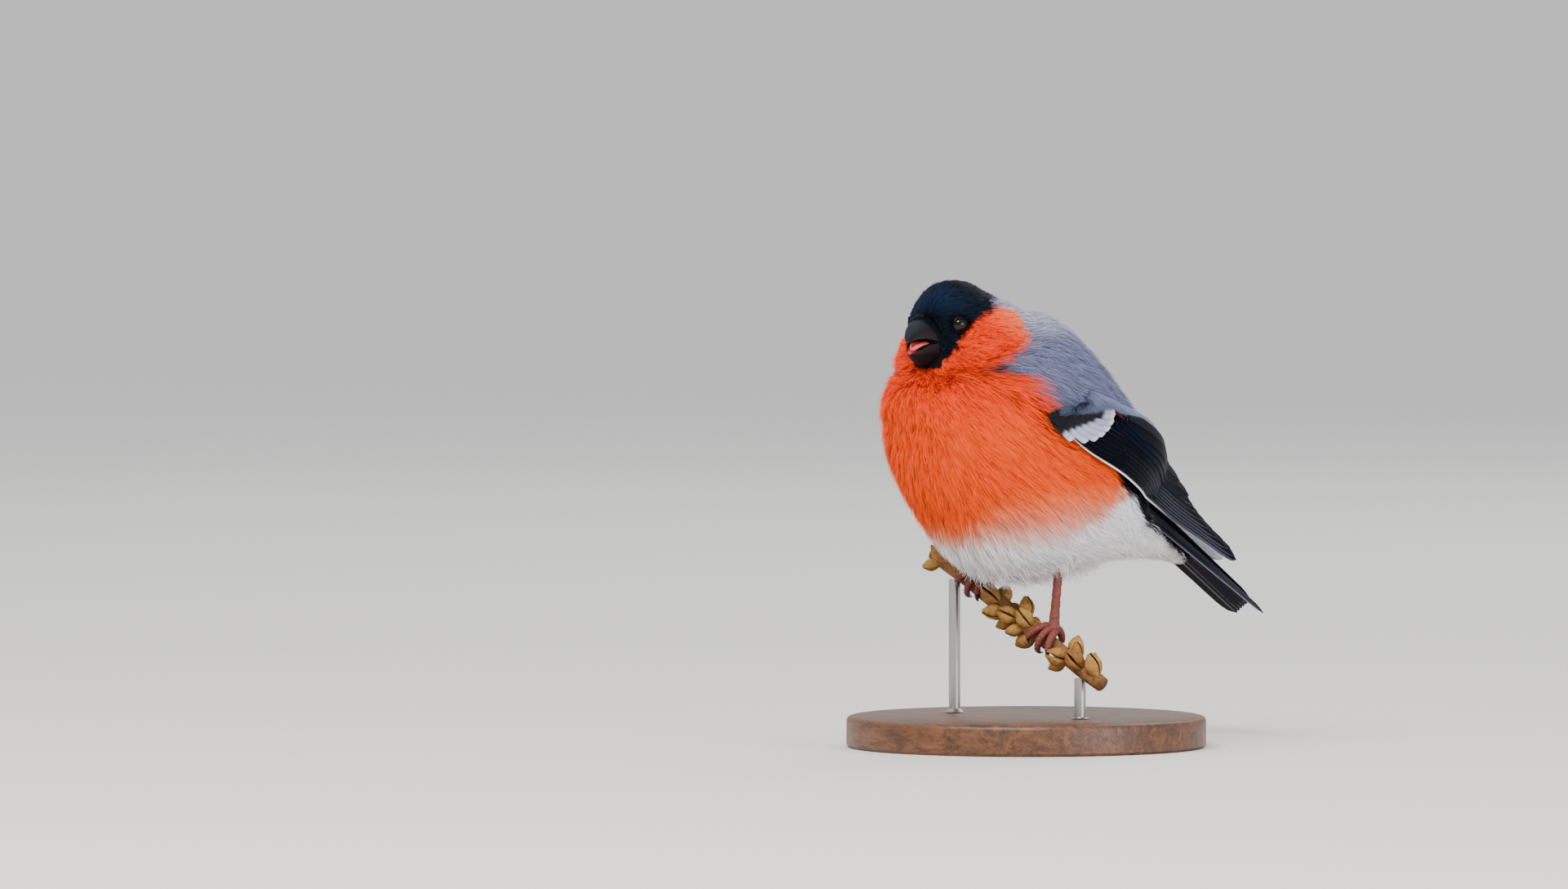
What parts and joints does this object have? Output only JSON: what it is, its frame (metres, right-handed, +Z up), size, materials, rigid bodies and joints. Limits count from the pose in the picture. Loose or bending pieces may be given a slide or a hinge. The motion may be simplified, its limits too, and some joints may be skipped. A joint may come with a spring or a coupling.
{
  "type": "male bullfinch on a cut stem",
  "caption": "Life-size perched male bullfinch, open-billed, looking to its left, on a cut seed stem held by a plain round stand.",
  "frame": {"origin": "middle of the stand's flat underside", "axes": "+Z up; the bird heads towards -Y and its left side is on +X"},
  "size_m": [0.092, 0.1116, 0.1198],
  "materials": {
    "grey_plumage": "soft grey body feathers",
    "orange_plumage": "soft orange-red body feathers",
    "white_plumage": "soft white body feathers",
    "black_plumage": "glossy blue-black head feathers",
    "flight_feathers": "stiff blue-black feathers with a satin sheen",
    "eye": "wet dark brown eye",
    "bill": "dark horn, satin",
    "tongue": "moist pink tongue",
    "leg_skin": "scaled brown skin",
    "claw": "dark horn",
    "dry_stem": "dry golden-brown seed stem",
    "stand_rod": "plain metal rod",
    "stand_wood": "stained turned wood, satin"
  },
  "bodies": {
    "root": {"mantle": "grey_plumage", "breast": "orange_plumage", "belly": "white_plumage", "neck": "orange_plumage", "head": "black_plumage", "eye_left": "eye", "eye_right": "eye", "bill_upper": "bill", "bill_lower": "bill", "tongue": "tongue", "wing_left": "flight_feathers", "wing_right": "flight_feathers", "tail": "flight_feathers", "leg_left": "leg_skin", "leg_right": "leg_skin", "claw_left_1": "claw", "claw_left_2": "claw", "claw_left_3": "claw", "claw_left_4": "claw", "claw_right_1": "claw", "claw_right_2": "claw", "claw_right_3": "claw", "claw_right_4": "claw", "perch": "dry_stem", "stand_rod_high": "stand_rod", "stand_rod_low": "stand_rod", "stand_base": "stand_wood"}
  },
  "joints": []
}
